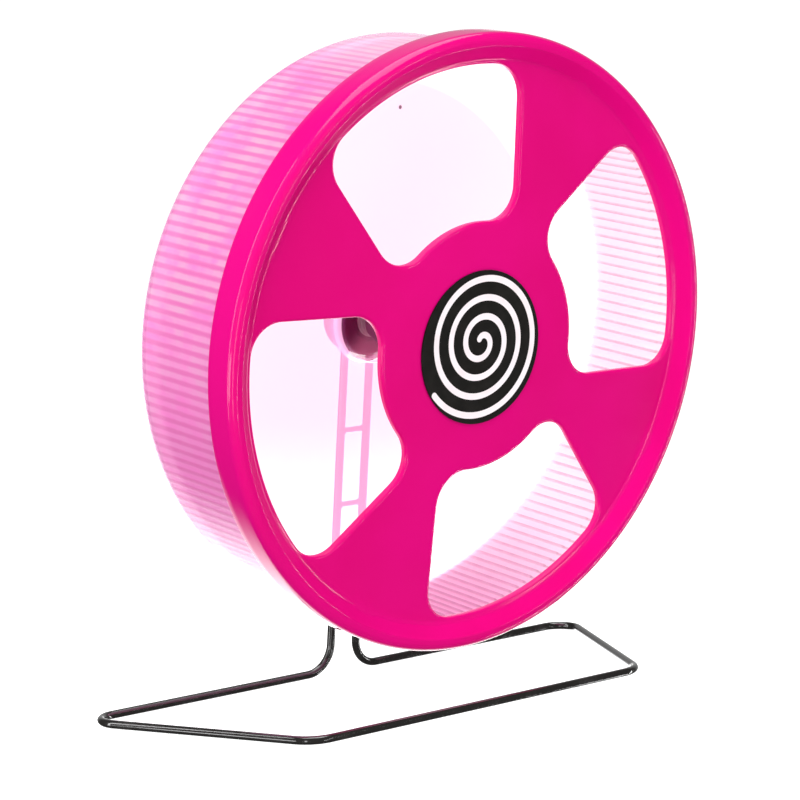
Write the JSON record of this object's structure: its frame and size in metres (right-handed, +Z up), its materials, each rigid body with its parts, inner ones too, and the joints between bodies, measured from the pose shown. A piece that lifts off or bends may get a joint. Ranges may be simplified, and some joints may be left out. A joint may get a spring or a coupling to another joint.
{
  "type": "small pet exercise wheel",
  "caption": "Small pet running wheel: ribbed clear drum with a windowed front cover, turning on a bearing block held by a bent wire floor stand.",
  "frame": {"origin": "centre of the bounding box on the floor, under the wheel", "axes": "+Z up, +X to the right seen from the front, -Y towards the open front side of the wheel; the axle lies in the YZ plane and dips 6 degrees towards the front"},
  "size_m": [0.2934, 0.12, 0.3054],
  "materials": {
    "stand_coat": "glossy black coat",
    "block_plastic": "satin black plastic",
    "steel": "zinc plated steel",
    "bush_plastic": "white acetal",
    "drum_plastic": "clear pink plastic",
    "cover_plastic": "glossy magenta plastic",
    "disc_print": "printed label, black ground with a plain off-white spiral line"
  },
  "bodies": {
    "stand": {"wire_stand": "stand_coat", "stand_rung_upper": "stand_coat", "stand_rung_lower": "stand_coat", "block_front": "block_plastic", "block_back": "block_plastic", "block_screw_upper": "steel", "block_screw_lower": "steel", "axle_bolt": "steel", "axle_sleeve": "steel", "head_washer": "steel", "thrust_washer": "bush_plastic", "nut_washer": "steel", "lock_nut": "steel", "lock_nut_ring": "bush_plastic"},
    "wheel": {"drum": "drum_plastic", "front_cover": "cover_plastic", "spiral_disc": "disc_print", "bush_front": "bush_plastic", "bush_back": "bush_plastic", "hub_cap": "drum_plastic"}
  },
  "joints": [
    {"name": "wheel_spin", "type": "hinge", "parent": "stand", "child": "wheel", "pos_m": [0, 0.04001, 0.17346], "axis": [0, 0.9945, 0.1045], "continuous": true}
  ]
}
